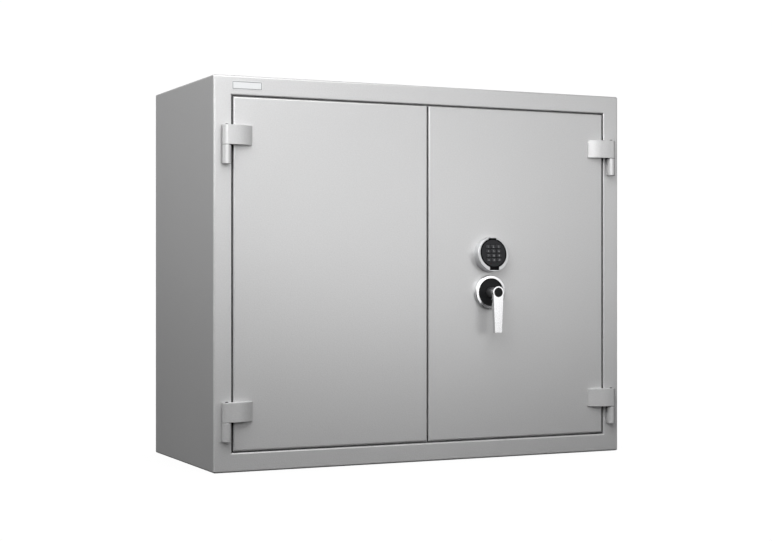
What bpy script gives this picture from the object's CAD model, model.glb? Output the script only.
# A two-door steel cabinet with a keypad lock and lever handle on the right door.
# It stands on z = 0 with its width along X. The doors face -Y, and +X is the right-hand side.
import math
import random

import bmesh
import bpy
from mathutils import Matrix, Vector


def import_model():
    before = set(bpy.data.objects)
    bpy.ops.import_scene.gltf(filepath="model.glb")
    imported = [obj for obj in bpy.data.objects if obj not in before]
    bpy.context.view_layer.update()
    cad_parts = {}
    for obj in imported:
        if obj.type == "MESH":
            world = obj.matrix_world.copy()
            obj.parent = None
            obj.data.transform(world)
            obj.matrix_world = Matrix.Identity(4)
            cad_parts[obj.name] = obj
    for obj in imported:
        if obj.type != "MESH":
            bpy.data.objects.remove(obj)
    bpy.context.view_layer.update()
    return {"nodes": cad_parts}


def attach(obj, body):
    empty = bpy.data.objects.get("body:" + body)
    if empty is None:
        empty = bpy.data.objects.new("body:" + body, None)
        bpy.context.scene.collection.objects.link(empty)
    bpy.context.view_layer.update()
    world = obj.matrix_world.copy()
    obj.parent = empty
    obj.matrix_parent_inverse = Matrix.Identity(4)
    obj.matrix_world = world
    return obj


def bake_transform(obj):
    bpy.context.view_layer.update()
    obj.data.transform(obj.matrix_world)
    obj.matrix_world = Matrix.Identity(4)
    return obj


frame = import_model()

random.seed(7)
nodes = frame["nodes"]
scene = bpy.context.scene

# ---------------------------------------------------------------- sizes and places
MM = 0.001           # metres in a millimetre
SIDES = (("left", -1), ("right", 1))

# The keypad leans back: its own axes run across, up the face and out of it.
KEYPAD_TILT = math.radians(8.0)
TILT_SIN, TILT_COS = math.sin(KEYPAD_TILT), math.cos(KEYPAD_TILT)
KEYPAD_Z = 0.553
FACE_RISE = 0.0025   # the face centre's distance up the slope from y -0.273, z KEYPAD_Z
FACE_X = 0.1865
FACE_Y = -0.273 + FACE_RISE * TILT_SIN
FACE_Z = KEYPAD_Z + FACE_RISE * TILT_COS
KEYPAD_OUT = Vector((0, -TILT_COS, TILT_SIN))
KEYPAD = Matrix((
    (1, 0, 0, FACE_X),
    (0, TILT_SIN, -TILT_COS, FACE_Y),
    (0, TILT_COS, TILT_SIN, FACE_Z),
    (0, 0, 0, 1)))

# Key grid in mm
KEY_LABELS = "123456789c0e"   # three to a row from the top: c is cancel, e is enter
KEY_PITCH_ACROSS = 16.1
KEY_PITCH_DOWN = 12.2
TOP_ROW_UP = 17.6
PRINT_OUT = 1.88              # height of the key printing above the keypad face
BOARD_BACK = -7.6             # back of the circuit board, along the keypad's outward axis

LOCK_X = 0.1855               # shared by the cable's run and the battery tray
CABLE_Z = 0.570
TRAY_BACK_Y = -0.2523
FRONT_Y = -250                # mm, the datum for depths into the cabinet
NECK_Y = -0.2909              # the handle lever's neck lies behind this

BADGE_X, BADGE_Z = -0.511, 0.9755
BADGE_HALF_WIDTH, BADGE_HALF_HEIGHT = 0.040, 0.0105


# ---------------------------------------------------------------- node helpers
class Graph:
    """A node tree, emptied and ready to build in."""

    def __init__(self, owner):
        owner.use_nodes = True
        self.tree = owner.node_tree
        self.tree.nodes.clear()

    def node(self, kind, inputs=None, **settings):
        """Adds a node; each input is given a value or a socket to link from."""
        node = self.tree.nodes.new("ShaderNode" + kind)
        for key, value in settings.items():
            setattr(node, key, value)
        for key, value in (inputs or {}).items():
            self.feed(node.inputs[key], value)
        return node

    def feed(self, socket, value):
        if isinstance(value, bpy.types.NodeSocket):
            self.tree.links.new(value, socket)
        else:
            socket.default_value = value

    def remap(self, value, span, to):
        """Maps the range span onto the range to."""
        return self.node("MapRange", dict(enumerate((value, *span, *to)))).outputs[0]

    def occlusion(self, distance, samples):
        """1 in the open, less in corners and gaps."""
        return self.node("AmbientOcclusion", {"Distance": distance}, samples=samples).outputs["AO"]

    def axes(self, vector):
        return self.node("SeparateXYZ", {0: vector}).outputs

    def mix_shaders(self, factor, first, second):
        return self.node("MixShader", {0: factor, 1: first, 2: second}).outputs[0]


class Look(Graph):
    """A Principled material patterned in object space."""

    def __init__(self, name):
        self.material = bpy.data.materials.new(name)
        super().__init__(self.material)
        self.shader = self.node("BsdfPrincipled")
        self.node("OutputMaterial", {0: self.shader.outputs[0]})
        self.place = self.node("TexCoord").outputs["Object"]

    def surface(self, inputs):
        """Feeds the shader and returns the finished material."""
        for name, value in inputs.items():
            self.feed(self.shader.inputs[name], value)
        return self.material

    def noise(self, scale, detail=3.0, rough=0.5, stretch=(1, 1, 1)):
        vector = self.node("Mapping", {"Scale": stretch, "Vector": self.place}).outputs[0]
        return self.node("TexNoise", {
            "Scale": scale, "Detail": detail, "Roughness": rough, "Vector": vector}).outputs["Fac"]

    def cells(self, scale, output="Distance"):
        return self.node("TexVoronoi", {"Scale": scale, "Vector": self.place}).outputs[output]

    def cell_tone(self, scale):
        """A random grey for each cell."""
        return self.node("SeparateColor", {0: self.cells(scale, "Color")}).outputs[0]

    def math(self, operation, *operands):
        inputs = dict(enumerate(operands))
        return self.node("Math", inputs, operation=operation).outputs[0]

    def times(self, first, second):
        return self.math("MULTIPLY", first, second)

    def plus(self, first, second):
        return self.math("ADD", first, second)

    def minus(self, first, second):
        return self.math("SUBTRACT", first, second)

    def mix(self, factor, first, second):
        inputs = {0: factor, 6: (*first, 1.0), 7: (*second, 1.0)}
        return self.node("Mix", inputs, data_type="RGBA").outputs[2]

    def tint(self, colour, factor):
        """colour times a grey factor."""
        inputs = {0: colour, "Scale": factor}
        return self.node("VectorMath", inputs, operation="SCALE").outputs[0]

    def bump(self, height, distance, strength, under=None):
        inputs = {"Strength": strength, "Distance": distance, "Height": height}
        if under is not None:
            inputs["Normal"] = under
        return self.node("Bump", inputs).outputs[0]

    def crevice(self, distance, span, low, samples=4):
        """1 in the open, down to low in corners and gaps."""
        return self.remap(self.occlusion(distance, samples), span=span, to=(low, 1.0))


# ---------------------------------------------------------------- families of material
PAINT = (0.620, 0.620, 0.622)
GAP_DARK = 0.02      # how far paint deep in a gap is darkened
PAINT_METAL = 0.45


def powder_coat(name, colour, rough=0.36, grain=1.0):
    """Stoved powder coat: fine pimpled skin over a slow orange peel."""
    look = Look(name)
    patches = look.noise(scale=2.2, detail=2.0)
    fine = look.noise(scale=640, detail=2.0, rough=0.6)
    peel = look.noise(scale=300, detail=2.0, rough=0.55)
    specks = look.cells(scale=420)
    shade = look.times(look.remap(patches, span=(0.3, 0.7), to=(0.99, 1.01)),
                       look.remap(peel, span=(0.25, 0.75), to=(0.955, 1.045)))
    dirt = look.times(look.crevice(distance=0.020, span=(0.10, 0.31), low=GAP_DARK, samples=16),
                      look.remap(fine, span=(0.25, 0.75), to=(0.985, 1.015)))
    # settled dust dulls whatever faces straight up
    normal = look.node("NewGeometry").outputs["True Normal"]
    dust = look.remap(look.axes(normal)["Z"], span=(0.93, 0.99), to=(0.0, 1.0))
    under = look.bump(peel, distance=0.00028 * grain, strength=1.0)
    pimples = look.plus(look.times(specks, 0.5), look.times(fine, 0.6))
    return look.surface({
        "Base Color": look.tint(colour, look.times(shade, dirt)),
        "Specular IOR Level": look.times(dirt, 0.5),
        "Roughness": look.plus(look.remap(fine, span=(0.2, 0.8), to=(rough - 0.05, rough + 0.07)),
                               look.times(dust, 0.28)),
        "Metallic": look.minus(PAINT_METAL, look.times(dust, PAINT_METAL * 0.7)),
        "Normal": look.bump(pimples, distance=0.00006 * grain, strength=0.8, under=under)})


def plated_steel(name, colour=(0.62, 0.63, 0.645), rough=0.30, streak=(40, 40, 40), tone=0.06):
    """Zinc-plated or bare worked steel, with a clouded film and fine drawing marks."""
    look = Look(name)
    cloud = look.noise(scale=26, detail=4.0, rough=0.6)
    marks = look.noise(scale=1.0, detail=3.0, rough=0.6, stretch=streak)
    spangle = look.cell_tone(scale=240)
    shade = look.plus(look.remap(cloud, span=(0.3, 0.7), to=(-tone, tone)),
                      look.remap(spangle, span=(0, 1), to=(-tone * 0.4, tone * 0.4)))
    shade = look.plus(shade, look.crevice(distance=0.004, span=(0.2, 0.9), low=0.72))
    return look.surface({
        "Base Color": look.tint(colour, shade),
        "Metallic": 1.0,
        "Roughness": look.plus(look.remap(cloud, span=(0.3, 0.7), to=(rough - 0.05, rough + 0.10)),
                               look.remap(marks, span=(0.3, 0.7), to=(-0.04, 0.04))),
        "Normal": look.bump(marks, distance=0.00004, strength=0.5)})


def satin_chrome():
    """Chrome with brush lines drawn out in Y and Z."""
    rough = 0.18
    look = Look("satin_chrome")
    lines = look.noise(scale=1.0, detail=2.0, rough=0.5, stretch=(1500, 60, 60))
    soft = look.noise(scale=45, detail=3.0)
    shade = look.times(look.remap(soft, span=(0.3, 0.7), to=(0.975, 1.015)),
                       look.crevice(distance=0.004, span=(0.1, 0.9), low=0.80))
    return look.surface({
        "Base Color": look.tint((0.80, 0.80, 0.81), shade),
        "Metallic": 1.0,
        "Roughness": look.plus(look.remap(lines, span=(0.3, 0.7), to=(rough - 0.03, rough + 0.04)),
                               look.remap(soft, span=(0.3, 0.7), to=(-0.015, 0.02))),
        "Normal": look.bump(lines, distance=0.000008, strength=0.35)})


def plastic(name, colour, rough=0.42, grain=900, depth=0.00003, gap_tone=0.5, specular=0.3):
    """Spark-eroded moulded plastic."""
    look = Look(name)
    fine = look.noise(scale=grain, detail=2.0, rough=0.6)
    patches = look.noise(scale=60, detail=2.0)
    shade = look.times(look.remap(fine, span=(0.25, 0.75), to=(0.92, 1.08)),
                       look.remap(patches, span=(0.3, 0.7), to=(0.97, 1.03)))
    gaps = look.crevice(distance=0.002, span=(0.1, 0.8), low=gap_tone)
    return look.surface({
        "Base Color": look.tint(colour, look.times(shade, gaps)),
        "Roughness": look.remap(fine, span=(0.2, 0.8), to=(rough - 0.05, rough + 0.06)),
        "Specular IOR Level": specular,
        "Normal": look.bump(fine, distance=depth, strength=0.7)})


# ---------------------------------------------------------------- single materials
def keypad_material():
    """Charcoal moulding: a paler round key field inside a near-black rim and tabs."""
    look = Look("keypad_plastic")
    x, _, z = look.axes(look.place)
    across = look.minus(x, FACE_X)
    up = look.math("DIVIDE", look.minus(z, FACE_Z), TILT_COS)
    radius = look.math("SQRT", look.plus(look.times(across, across), look.times(up, up)))
    inside = look.remap(radius, span=(0.0362, 0.0368), to=(1.0, 0.0))
    fine = look.noise(scale=1100, detail=2.0, rough=0.6)
    shade = look.times(look.remap(fine, span=(0.25, 0.75), to=(0.88, 1.12)),
                       look.crevice(distance=0.0015, span=(0.1, 0.8), low=0.4))
    rim, field = (0.004, 0.004, 0.0045), (0.026, 0.0265, 0.0285)
    return look.surface({
        "Base Color": look.tint(look.mix(inside, rim, field), shade),
        "Roughness": look.remap(fine, span=(0.2, 0.8), to=(0.42, 0.54)),
        "Specular IOR Level": look.remap(inside, span=(0.0, 1.0), to=(0.05, 0.14)),
        "Normal": look.bump(fine, distance=0.00003, strength=0.7)})


def housing_material():
    """Silver lacquer with fine flakes."""
    look = Look("silver_plastic")
    fine = look.noise(scale=1400, detail=2.0, rough=0.6)
    flakes = look.cell_tone(scale=1800)
    shade = look.times(look.remap(flakes, span=(0, 1), to=(0.95, 1.05)),
                       look.crevice(distance=0.003, span=(0.1, 0.9), low=0.7))
    return look.surface({
        "Base Color": look.tint((0.66, 0.665, 0.675), shade),
        "Metallic": 0.85,
        "Roughness": look.remap(fine, span=(0.2, 0.8), to=(0.36, 0.44)),
        "Coat Weight": 0.25,
        "Coat Roughness": 0.12,
        "Normal": look.bump(fine, distance=0.00001, strength=0.5)})


def key_material():
    """Dark grey moulded keys."""
    look = Look("key_plastic")
    fine = look.noise(scale=1300, detail=2.0, rough=0.6)
    shade = look.times(look.remap(fine, span=(0.25, 0.75), to=(0.9, 1.1)),
                       look.crevice(distance=0.0015, span=(0.1, 0.8), low=0.45))
    return look.surface({
        "Base Color": look.tint((0.046, 0.047, 0.050), shade),
        "Roughness": look.remap(fine, span=(0.2, 0.8), to=(0.48, 0.6)),
        "Specular IOR Level": 0.2,
        "Normal": look.bump(fine, distance=0.00002, strength=0.6)})


def badge_material():
    """Plain pale plate with one dark keyline and a blank centre."""
    look = Look("badge")
    x, _, z = look.axes(look.place)
    across = look.math("ABSOLUTE", look.minus(x, BADGE_X))
    up = look.math("ABSOLUTE", look.minus(z, BADGE_Z))
    inset = look.math("MINIMUM", look.minus(BADGE_HALF_WIDTH, across),
                      look.minus(BADGE_HALF_HEIGHT, up))
    line = look.times(look.remap(inset, span=(0.0010, 0.0012), to=(0, 1)),
                      look.remap(inset, span=(0.0024, 0.0026), to=(1, 0)))
    brushing = look.noise(scale=1.0, detail=2.0, rough=0.5, stretch=(60, 60, 2400))
    plate, keyline = (0.74, 0.75, 0.76), (0.16, 0.16, 0.17)
    return look.surface({
        "Base Color": look.tint(look.mix(line, plate, keyline),
                                look.remap(brushing, span=(0.3, 0.7), to=(0.96, 1.03))),
        "Roughness": 0.32,
        "Metallic": 0.15,
        "Normal": look.bump(brushing, distance=0.00001, strength=0.4)})


def fill_material():
    """Rough mineral filling of the walls and doors."""
    look = Look("mineral_fill")
    clumps = look.noise(scale=60, detail=5.0, rough=0.65)
    grains = look.cells(scale=180)
    shade = look.times(look.remap(clumps, span=(0.25, 0.75), to=(0.8, 1.15)),
                       look.remap(grains, span=(0.0, 0.5), to=(0.85, 1.05)))
    return look.surface({
        "Base Color": look.tint((0.56, 0.53, 0.47), shade),
        "Roughness": 0.9,
        "Normal": look.bump(look.plus(clumps, grains), distance=0.0012, strength=0.8)})


def board_material():
    """Green circuit board; the track pattern is turned to lie in the XZ plane."""
    look = Look("board_green")
    turn = {"Rotation": (math.radians(90), 0, 0), "Vector": look.place}
    tracks = look.node("TexBrick", {
        "Scale": 220, "Mortar Size": 0.03,
        "Color1": (0.012, 0.10, 0.045, 1),
        "Color2": (0.014, 0.12, 0.05, 1),
        "Mortar": (0.03, 0.22, 0.09, 1),
        "Vector": look.node("Mapping", turn).outputs[0]})
    return look.surface({
        "Base Color": tracks.outputs["Color"],
        "Roughness": look.remap(look.noise(scale=400), span=(0.3, 0.7), to=(0.28, 0.4)),
        "Coat Weight": 0.4})


body_paint = powder_coat("body_paint", PAINT)
inside_paint = powder_coat("interior_paint", (0.57, 0.57, 0.573), rough=0.45, grain=0.8)
zinc = plated_steel("zinc_steel")
zinc_rod = plated_steel("zinc_rod_steel", streak=(900, 900, 14))
zinc_bar = plated_steel("zinc_turned_steel", colour=(0.66, 0.665, 0.67), rough=0.24,
                        streak=(14, 900, 900))
dark_pin = plated_steel("pin_steel", colour=(0.10, 0.10, 0.105), rough=0.38)
chrome = satin_chrome()
black = plastic("black_plastic", (0.012, 0.0122, 0.013), grain=700, specular=0.16)
seal = plastic("seal_rubber", (0.022, 0.022, 0.023), rough=0.62, grain=450, depth=0.00006)
cell_metal = plated_steel("cell_casing", colour=(0.20, 0.22, 0.27), rough=0.22,
                          streak=(6, 300, 300), tone=0.02)
keypad_plastic = keypad_material()
silver = housing_material()
key_plastic = key_material()
badge = badge_material()
fill = fill_material()
board_green = board_material()
white_print = plastic("key_print", (0.27, 0.274, 0.28), rough=0.5, grain=2000, depth=0.000005,
                      gap_tone=1.0)
lens_red = plastic("lens_red", (0.055, 0.018, 0.017), rough=0.12, grain=500, depth=0.0)
lens_green = plastic("lens_green", (0.02, 0.05, 0.025), rough=0.12, grain=500, depth=0.0)
brass = plated_steel("contact_brass", colour=(0.75, 0.58, 0.28), rough=0.25)
chip_black = plastic("chip_black", (0.012, 0.012, 0.013), rough=0.5, grain=800)
cable_grey = plastic("cable_sheath", (0.03, 0.03, 0.032), rough=0.5, grain=500, depth=0.00004)
key_mat_rubber = plastic("key_mat_rubber", (0.10, 0.10, 0.105), rough=0.7, grain=600,
                         depth=0.00004)

# ---------------------------------------------------------------- materials of the CAD pieces
LOOKS = (
    (body_paint, "outer_casing rear_panel door_frame frame_hinge_knuckles"),
    (inside_paint, "inner_liner lower_shelf upper_shelf shelf_rails"),
    (fill, "wall_insulation"),
    (zinc, "anchor_sleeves shelf_clips left_lever_crank left_inner_lever lock_case "
           "handle_spindle handle_crank lock_bolt"),
    (zinc_rod, "bolt_bar"),
    (zinc_bar, "side_bolts"),
    (dark_pin, "hinge_pins"),
    (chrome, "handle_rosette handle_lever"),
    (black, "rosette_plate handle_cap"),
    (seal, "frame_seal"),
    (badge, "badge_plate"),
    (silver, "keypad_housing"),
    (cell_metal, "battery_cells"),
    (keypad_plastic, "keypad_face"),
    (board_green, "circuit_board"),
)
# pieces that both doors have, named after left_ or right_
DOOR_LOOKS = (
    (body_paint, "door_plate door_shell hinge_leaves"),
    (fill, "door_core"),
    (inside_paint, "door_cover"),
    (zinc_bar, "dog_bolts"),
    (zinc, "rod_guides"),
    (zinc_rod, "upper_rod lower_rod"),
)


def dress_cad_pieces():
    """Gives each piece its material; those not listed are keys."""
    look_of = {name: look for look, names in LOOKS for name in names.split()}
    for side, _ in SIDES:
        for look, parts in DOOR_LOOKS:
            look_of.update({f"{side}_{part}": look for part in parts.split()})
    for name, piece in nodes.items():
        piece.data.materials.clear()
        piece.data.materials.append(look_of.get(name, key_plastic))
        for face in piece.data.polygons:
            face.material_index = 0


def dress_handle_neck():
    """The handle's neck, behind the lever arm, has a darker brushed finish."""
    lever = nodes["handle_lever"].data
    lever.materials.append(plated_steel("neck_metal", colour=(0.30, 0.30, 0.305), rough=0.44,
                                        streak=(60, 900, 60), tone=0.03))
    for face in lever.polygons:
        if face.center.y > NECK_Y:
            face.material_index = 1


# ---------------------------------------------------------------- geometry helpers
def add_object(name, data):
    item = bpy.data.objects.new(name, data)
    scene.collection.objects.link(item)
    return item


def mesh_object(name, build, material, crease):
    """Turns a bmesh into a smooth object, sharp at edges folded by more than crease degrees."""
    bmesh.ops.recalc_face_normals(build, faces=build.faces)
    for face in build.faces:
        face.smooth = True
    for edge in build.edges:
        if len(edge.link_faces) == 2 and edge.calc_face_angle(0) > math.radians(crease):
            edge.smooth = False
    mesh = bpy.data.meshes.new(name)
    build.to_mesh(mesh)
    build.free()
    mesh.materials.append(material)
    return add_object(name, mesh)


def add_part(name, build, material, body, crease=40):
    """Welds a bmesh into an object that moves with body."""
    bmesh.ops.remove_doubles(build, verts=build.verts, dist=1e-7)
    part = mesh_object(name, build, material, crease)
    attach(part, body)


def circle(build, place, radius, height, steps):
    """A ring of vertices about place's Z axis; a single one where the radius is 0."""
    if radius == 0:
        return [build.verts.new(place @ Vector((0, 0, height)))]
    angles = [2 * math.pi * i / steps for i in range(steps)]
    return [build.verts.new(place @ Vector((radius * math.cos(t), radius * math.sin(t), height)))
            for t in angles]


def loft(build, rings):
    """Joins each ring to the next with faces."""
    for near, far in zip(rings, rings[1:]):
        steps = max(len(near), len(far))
        for i in range(steps):
            j = (i + 1) % steps
            if len(near) == 1:
                build.faces.new((near[0], far[i], far[j]))
            elif len(far) == 1:
                build.faces.new((near[i], near[j], far[0]))
            else:
                build.faces.new((near[i], near[j], far[j], far[i]))


def cap_ends(build, rings):
    build.faces.new(list(reversed(rings[0])))
    build.faces.new(rings[-1])


def turned(build, profile, place, steps):
    """Adds a turned solid: profile is [(radius, height)] in mm."""
    loft(build, [circle(build, place, radius * MM, height * MM, steps)
                 for radius, height in profile])


def rounded_block(build, size, place, radius, segments=2):
    """Adds a box with rounded edges; size and radius are in mm."""
    part = bmesh.new()
    bmesh.ops.create_cube(part, size=1.0)
    for vert in part.verts:
        vert.co = Vector([part_co * (length * MM) for part_co, length in zip(vert.co, size)])
    bmesh.ops.bevel(part, geom=list(part.edges), offset=radius * MM, segments=segments,
                    profile=0.5, affect="EDGES")
    for vert in part.verts:
        vert.co = place @ vert.co
    copy = bpy.data.meshes.new("block_copy")
    part.to_mesh(copy)
    part.free()
    build.from_mesh(copy)
    bpy.data.meshes.remove(copy)


def facing(point, direction, spin=0.0):
    """Matrix whose local +Z points along direction, at point."""
    turn = Vector(direction).to_track_quat("Z", "Y").to_matrix().to_4x4()
    return Matrix.Translation(Vector(point)) @ turn @ Matrix.Rotation(spin, 4, "Z")


def on_keypad(across, up, out):
    """Matrix at a place in mm on the keypad's own axes."""
    return KEYPAD @ Matrix.Translation(Vector((across * MM, up * MM, out * MM)))


# ---------------------------------------------------------------- keypad
def key_places():
    """Yields each key's label and its centre in mm across and up the keypad."""
    for i, label in enumerate(KEY_LABELS):
        row, column = divmod(i, 3)
        yield label, (column - 1) * KEY_PITCH_ACROSS, TOP_ROW_UP - row * KEY_PITCH_DOWN


def key_digit(label, place, body):
    """A raised digit, centred on its own outline."""
    name = "digit_" + label
    font = bpy.data.curves.new(name, "FONT")
    font.body = label
    font.size = 7.4 * MM
    font.align_x = "CENTER"
    font.align_y = "CENTER"
    font.offset = 0.10 * MM
    font.extrude = 0.05 * MM
    font.resolution_u = 6
    text = add_object("digit_text", font)
    bpy.context.view_layer.update()
    solid = text.evaluated_get(bpy.context.evaluated_depsgraph_get())
    mesh = bpy.data.meshes.new_from_object(solid)
    bpy.data.objects.remove(text)
    xs = [vert.co.x for vert in mesh.vertices]
    ys = [vert.co.y for vert in mesh.vertices]
    middle = Vector(((min(xs) + max(xs)) / 2, (min(ys) + max(ys)) / 2, 0))
    for vert in mesh.vertices:
        vert.co = place @ (vert.co - middle)
    mesh.name = name
    mesh.materials.clear()
    mesh.materials.append(white_print)
    digit = add_object(name, mesh)
    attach(digit, body)


def key_sign(label, place, body):
    """A cross for cancel, a ring for enter."""
    build = bmesh.new()
    if label == "c":
        for angle in (45, -45):
            turn = Matrix.Rotation(math.radians(angle), 4, "Z")
            rounded_block(build, (5.0, 0.95, 0.10), place @ turn, radius=0.04)
    else:
        outer, inner, half = 2.3, 1.45, 0.05
        turned(build, [(outer, -half), (outer, half), (inner, half), (inner, -half),
                       (outer, -half)], place, steps=40)
    add_part("sign_" + label, build, white_print, body)


def key_printing():
    for label, across, up in key_places():
        make = key_digit if label.isdigit() else key_sign
        make(label, on_keypad(across, up, PRINT_OUT), "key_%s_button" % label)


def lamps():
    """Two domed lamps low in the keypad face."""
    radius = 1.5
    angles = [i * math.pi / 2 / 8 for i in range(8)]
    dome = [(radius * math.cos(t), 0.3 + 0.75 * math.sin(t)) for t in angles]
    profile = [(0, -3.2), (radius, -3.2)] + dome + [(0, 1.05)]
    for name, across, lens in (("lamp_left", -10.0, lens_red), ("lamp_right", 10.0, lens_green)):
        build = bmesh.new()
        turned(build, profile, on_keypad(across, -28.8, 0), steps=28)
        add_part(name, build, lens, "keypad_flap")


# (radius, height) in mm along the keypad's outward axis
KEY_MAT = [(0, -5.95), (31.0, -5.95), (31.4, -5.5), (31.4, -4.9), (31.0, -4.6), (0, -4.6)]
MAT_DOME = [(0, -4.65), (3.6, -4.65), (3.2, -4.3), (2.4, -4.15), (0, -4.12)]


def key_mat():
    """Rubber mat behind the keys, with a dome under each."""
    build = bmesh.new()
    turned(build, KEY_MAT, KEYPAD, steps=64)
    for _, across, up in key_places():
        turned(build, MAT_DOME, on_keypad(across, up, 0), steps=24)
    add_part("key_mat", build, key_mat_rubber, "keypad_flap")


# across, up, width, height, thickness in mm
CHIPS = ((-12, 6, 10, 10, 1.6), (8, -12, 12, 6, 1.5), (10, 8, 5, 4, 1.2),
         (-14, -14, 5, 4, 1.4), (-3, -22, 6, 3, 1.2))
# middle of the row across, up, number of pins
PIN_ROWS = ((-12, 11.4, 8), (-12, 0.6, 8), (8, -8.6, 9), (8, -15.4, 9))
PIN_PITCH = 1.1


def board_parts():
    """Chips and their pins on the back of the circuit board."""
    build = bmesh.new()
    for across, up, width, height, thick in CHIPS:
        place = on_keypad(across, up, BOARD_BACK - thick / 2 - 0.02)
        rounded_block(build, (width, height, thick), place, radius=0.2)
    add_part("board_chips", build, chip_black, "keypad_flap")
    build = bmesh.new()
    for middle, up, count in PIN_ROWS:
        for i in range(count):
            across = middle + (i - (count - 1) / 2) * PIN_PITCH
            rounded_block(build, (0.45, 0.9, 0.35), on_keypad(across, up, -7.82), radius=0.08,
                          segments=1)
    add_part("board_pins", build, brass, "keypad_flap")


def smooth_path(points, parts=10):
    """A Catmull-Rom curve through points, each span cut into parts."""
    path = []
    for i in range(len(points) - 1):
        before, start, end = points[max(i - 1, 0)], points[i], points[i + 1]
        after = points[min(i + 2, len(points) - 1)]
        for k in range(parts):
            t = k / parts
            path.append(0.5 * ((2 * start) + (end - before) * t
                               + (2 * before - 5 * start + 4 * end - after) * t * t
                               + (3 * start - before - 3 * end + after) * t ** 3))
    path.append(points[-1])
    return path


def keypad_cable():
    """Round cable from the board back through the door into the lock."""
    start = KEYPAD @ Vector((0, 13.5 * MM, -8.0 * MM))
    path = smooth_path([
        start, start + KEYPAD_OUT * -0.0012, Vector((LOCK_X, -0.2560, CABLE_Z - 0.0005)),
        *(Vector((LOCK_X, y, CABLE_Z)) for y in (-0.2500, -0.2300, -0.2140))])
    build = bmesh.new()
    rings = []
    for i, point in enumerate(path):
        along = (path[min(i + 1, len(path) - 1)] - path[max(i - 1, 0)]).normalized()
        rings.append(circle(build, facing(point, along), radius=1.5 * MM, height=0, steps=10))
    loft(build, rings)
    cap_ends(build, rings)
    # a full turn as the crease leaves every edge smooth
    cable = mesh_object("keypad_cable", build, cable_grey, crease=360)
    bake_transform(cable)


def battery_tray():
    """Cradle ribs between the cells and an upright plate at each end."""
    build = bmesh.new()
    # x and z from the tray's middle, size, edge radius; all in mm
    blocks = [(0, z, (46, 4.6, 0.7), 0.15) for z in (-23.0, -11.5, -0.5, 11.0)]
    blocks += [(sign * 24.2, -6.0, (0.8, 9.5, 34.6), 0.2) for _, sign in SIDES]
    for x, z, size, radius in blocks:
        centre = (LOCK_X + x * MM, TRAY_BACK_Y - size[1] / 2 * MM, KEYPAD_Z + z * MM)
        rounded_block(build, size, Matrix.Translation(Vector(centre)), radius)
    add_part("battery_tray", build, chip_black, "right_door")


# ---------------------------------------------------------------- screws
# rings of a domed head from the middle out, as fractions of its radius and height
SCREW_RINGS = ((0.14, 0.995), (0.28, 0.985), (0.40, 0.965), (0.52, 0.935), (0.60, 0.905),
               (0.70, 0.855), (0.82, 0.74), (0.92, 0.55), (1.0, 0.25), (1.0, 0.0))


def screw_head(build, point, direction, radius, height):
    """Domed head, randomly turned; the inner rings sink along the arms of a cross recess."""
    place = facing(point, direction, spin=random.random() * 3)
    steps = 32
    rings = [[build.verts.new(place @ Vector((0, 0, height * 0.35)))]]
    for out, rise in SCREW_RINGS:
        ring = []
        for i in range(steps):
            angle = 2 * math.pi * i / steps
            x = out * radius * math.cos(angle)
            y = out * radius * math.sin(angle)
            z = rise * height
            if out < 0.2 or (out < 0.56 and min(abs(x), abs(y)) < 0.11 * radius):
                z -= height * (0.55 if out < 0.45 else 0.42)
            ring.append(build.verts.new(place @ Vector((x, y, z))))
        rings.append(ring)
    loft(build, rings)
    build.faces.new(rings[-1])


def cover_screws():
    """Screws round the cover on the back of each door."""
    spots = [(x, z) for x in (26, 269, 512) for z in (90, 910)]
    spots += [(x, z) for x in (26, 512) for z in (300, 500, 700)]
    for side, sign in SIDES:
        build = bmesh.new()
        for x, z in spots:
            screw_head(build, (sign * x * MM, (FRONT_Y + 68.0) * MM, z * MM), (0, 1, 0),
                       radius=4.0 * MM, height=1.6 * MM)
        add_part(side + "_cover_screws", build, zinc, side + "_door", crease=28)


def rail_screws():
    """Screws that hold the slotted rails to the liner."""
    build = bmesh.new()
    for _, sign in SIDES:
        for depth in (135.0, 410.0):
            for z in (92, 492, 892):
                point = (sign * 538.0 * MM, (FRONT_Y + depth + 8.0) * MM, z * MM)
                screw_head(build, point, (-sign, 0, 0), radius=2.6 * MM, height=1.1 * MM)
    add_part("rail_screws", build, zinc, "cabinet", crease=28)


# ---------------------------------------------------------------- weld beads
def bead(build, start, end, radius=1.3 * MM, pitch=2.6 * MM):
    """A row of overlapping weld ripples between two points."""
    run = Vector(end) - Vector(start)
    count = int(run.length / pitch * 4)
    rings = []
    for i in range(count + 1):
        t = i / count
        ripple = 0.16 * math.cos(2 * math.pi * t * run.length / pitch)
        swell = 1.0 + ripple + random.uniform(-0.05, 0.05)
        if i in (0, count):
            swell *= 0.35
        place = facing(Vector(start) + run * t, run)
        rings.append(circle(build, place, radius * swell, height=0, steps=10))
    loft(build, rings)
    cap_ends(build, rings)


def hinge_welds():
    """A bead up each side of the fixed hinge knuckles."""
    build = bmesh.new()
    for _, sign in SIDES:
        for foot in (77.5, 774):
            for offset in (-5.6, 5.6):
                x, y = (sign * 569.5 + offset) * MM, -0.2508
                bead(build, (x, y, (foot + 5.0) * MM), (x, y, (foot + 46) * MM))
    add_part("hinge_welds", build, body_paint, "cabinet", crease=60)


# ---------------------------------------------------------------- floor, light and camera
FLOOR_TO_OBJECT = 0.0    # light the floor throws on the cabinet
GLOSS_SKY = 0.2          # sky strength in reflections
FILL_SKY = 0.02          # sky strength as diffuse light
# position on the ramp from straight down to straight up, grey level
SKY_STOPS = ((0.0, 0.06), (0.36, 0.10), (0.44, 0.45), (0.49, 0.95), (0.60, 1.0),
             (0.85, 1.0), (1.0, 0.8))

CABINET_AIM = (-0.1, -0.25, 0.6)
SIDE_AIM = (-0.6, 0.0, 0.5)
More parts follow.
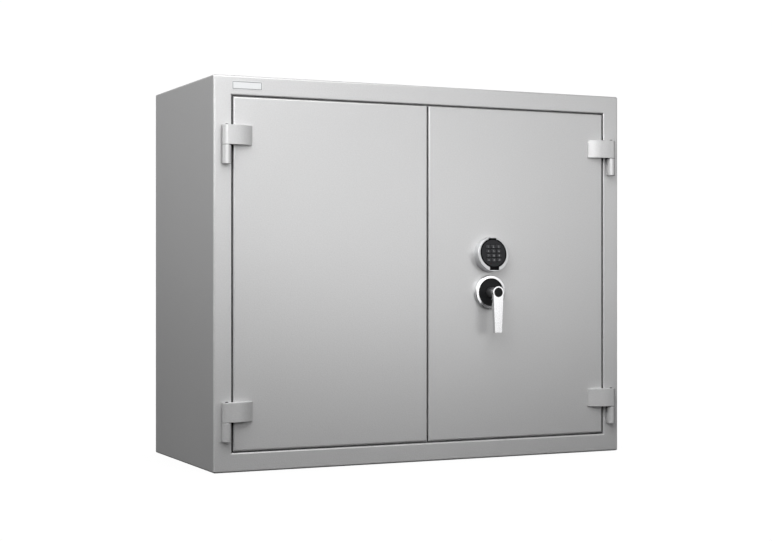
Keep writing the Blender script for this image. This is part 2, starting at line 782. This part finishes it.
# name, place, aim, width, watts, and height where it isn't the width
LIGHTS = (
    ("near_left", (-0.7, -1.0, 1.0), CABINET_AIM, 0.45, 0.7247),
    ("mid_front", (-0.4, -3.2, 1.4), CABINET_AIM, 1.24, 11.3),
    ("low_front", (0.0, -1.6, 0.6), CABINET_AIM, 0.54, 0.565),
    ("mid_low", (0.8, -2.2, 0.6), CABINET_AIM, 0.84, 2.192),
    ("right_low", (2.2, -1.6, 0.7), CABINET_AIM, 1.20, 2.7),
    ("side_high", (-3.0, 0.3, 2.6), SIDE_AIM, 1.30, 38.58),
    ("card", (1.25, -2.3, 0.55), (0.15, -0.3, 0.48), 0.95, 1.53),
    ("left_high", (-3.6, -2.8, 3.2), CABINET_AIM, 3.0, 96.0),
    ("mid_left", (-1.9, -3.4, 1.8), CABINET_AIM, 2.2, 20.4),
    ("high_left", (-0.3, -1.3, 2.1), CABINET_AIM, 1.5, 23.6),
    ("right_far", (2.2, -3.6, 1.6), CABINET_AIM, 2.2, 7.5),
    ("side_low", (-3.0, 0.4, 0.9), SIDE_AIM, 1.3, 6.12),
    # behind, low enough to miss the top and the front edges
    ("back_right", (2.4, 2.6, 0.45), (0.2, 0.1, 0.45), 2.6, 34.0, 0.8),
)


def floor():
    """A near-white floor for the camera, slightly darker close to the cabinet."""
    half = 40.0
    mesh = bpy.data.meshes.new("floor")
    corners = [(-half, -half, 0), (half, -half, 0), (half, half, 0), (-half, half, 0)]
    mesh.from_pydata(corners, [], [(0, 1, 2, 3)])
    plane = add_object("floor", mesh)
    plane.location.z = -0.0002
    material = bpy.data.materials.new("floor")
    graph = Graph(material)
    glow = graph.remap(graph.occlusion(distance=0.22, samples=8), span=(0.25, 0.95),
                       to=(0.965, 1.02))
    seen = graph.node("Emission", {"Strength": glow})
    thrown = graph.node("Emission", {"Color": (FLOOR_TO_OBJECT,) * 3 + (1,), "Strength": 1.0})
    camera_ray = graph.node("LightPath").outputs["Is Camera Ray"]
    mixed = graph.mix_shaders(camera_ray, thrown.outputs[0], seen.outputs[0])
    graph.node("OutputMaterial", {0: mixed})
    mesh.materials.append(material)


def world():
    """White to the camera, a graded sky in reflections and a faint even fill elsewhere."""
    scene.world = bpy.data.worlds.new("studio")
    graph = Graph(scene.world)
    rays = graph.node("LightPath").outputs
    up = graph.axes(graph.node("TexCoord").outputs["Generated"])["Z"]
    sky = graph.node("ValToRGB", {0: graph.remap(up, span=(-1.0, 1.0), to=(0.0, 1.0))})
    stops = sky.color_ramp.elements
    while len(stops) < len(SKY_STOPS):
        stops.new(0.5)
    for stop, (position, grey) in zip(stops, SKY_STOPS):
        stop.position = position
        stop.color = (grey, grey, grey, 1)

    def background(colour, strength):
        return graph.node("Background", {0: colour, 1: strength}).outputs[0]

    seen = background((1, 1, 1, 1), 1.02)
    gloss = background(sky.outputs[0], GLOSS_SKY)
    even = background((0.93, 0.95, 1.0, 1), FILL_SKY)
    unseen = graph.mix_shaders(rays["Is Glossy Ray"], even, gloss)
    mixed = graph.mix_shaders(rays["Is Camera Ray"], unseen, seen)
    graph.node("OutputWorld", {0: mixed})


def area_light(name, place, aim, width, watts, height=None):
    data = bpy.data.lights.new(name, "AREA")
    data.shape = "RECTANGLE"
    data.size = width
    data.size_y = height or width
    data.energy = watts
    lamp = add_object(name, data)
    lamp.location = place
    lamp.rotation_mode = "QUATERNION"
    lamp.rotation_quaternion = (Vector(aim) - Vector(place)).to_track_quat("-Z", "Y")
    lamp.visible_camera = False


def camera():
    """A level view from the front left."""
    data = bpy.data.cameras.new("camera")
    data.sensor_fit = "HORIZONTAL"
    data.sensor_width = 36.0
    data.lens = 72.03
    data.shift_y = 0.00117
    data.clip_start = 0.05
    data.clip_end = 200.0
    view = add_object("camera", data)
    heading = math.radians(25.05)    # from +Y towards +X
    view.location = (-1.8449, -3.9324, 0.5063)
    view.rotation_mode = "QUATERNION"
    ahead = Vector((math.sin(heading), math.cos(heading), 0))
    view.rotation_quaternion = ahead.to_track_quat("-Z", "Y")
    scene.camera = view


# ---------------------------------------------------------------- build
dress_cad_pieces()
dress_handle_neck()
key_printing()
lamps()
key_mat()
board_parts()
keypad_cable()
battery_tray()
cover_screws()
rail_screws()
hinge_welds()
floor()
world()
for row in LIGHTS:
    area_light(*row)
camera()
scene.view_settings.view_transform = "Standard"
scene.view_settings.look = "None"
